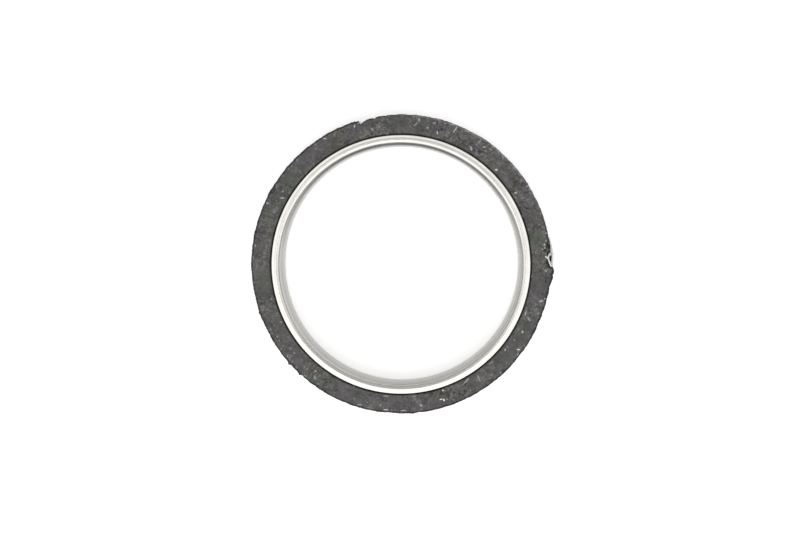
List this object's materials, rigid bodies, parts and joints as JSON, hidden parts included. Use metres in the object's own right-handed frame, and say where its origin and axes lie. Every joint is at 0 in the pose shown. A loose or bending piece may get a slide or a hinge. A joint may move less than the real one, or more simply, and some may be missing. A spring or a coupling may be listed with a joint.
{
  "type": "exhaust gasket",
  "caption": "Round exhaust gasket: a ring pressed from graphite and fine steel wire on a flanged stainless sleeve, with a sprung wire loop at its chipped rim.",
  "frame": {"origin": "centre of the bore at the lower face, where the gasket lies", "axes": "+Z along the bore and through the thickness, +X through the broken spot in the rim"},
  "size_m": [0.0474, 0.047, 0.005],
  "materials": {
    "sleeve_steel": "satin stainless, turned marks round the ring",
    "graphite": "pressed graphite, dull, with fine flakes and pits",
    "wire_steel": "bright drawn wire"
  },
  "bodies": {
    "root": {"sleeve": "sleeve_steel", "graphite_ring": "graphite", "sprung_wire": "wire_steel", "surface_wires": "wire_steel"}
  },
  "joints": []
}
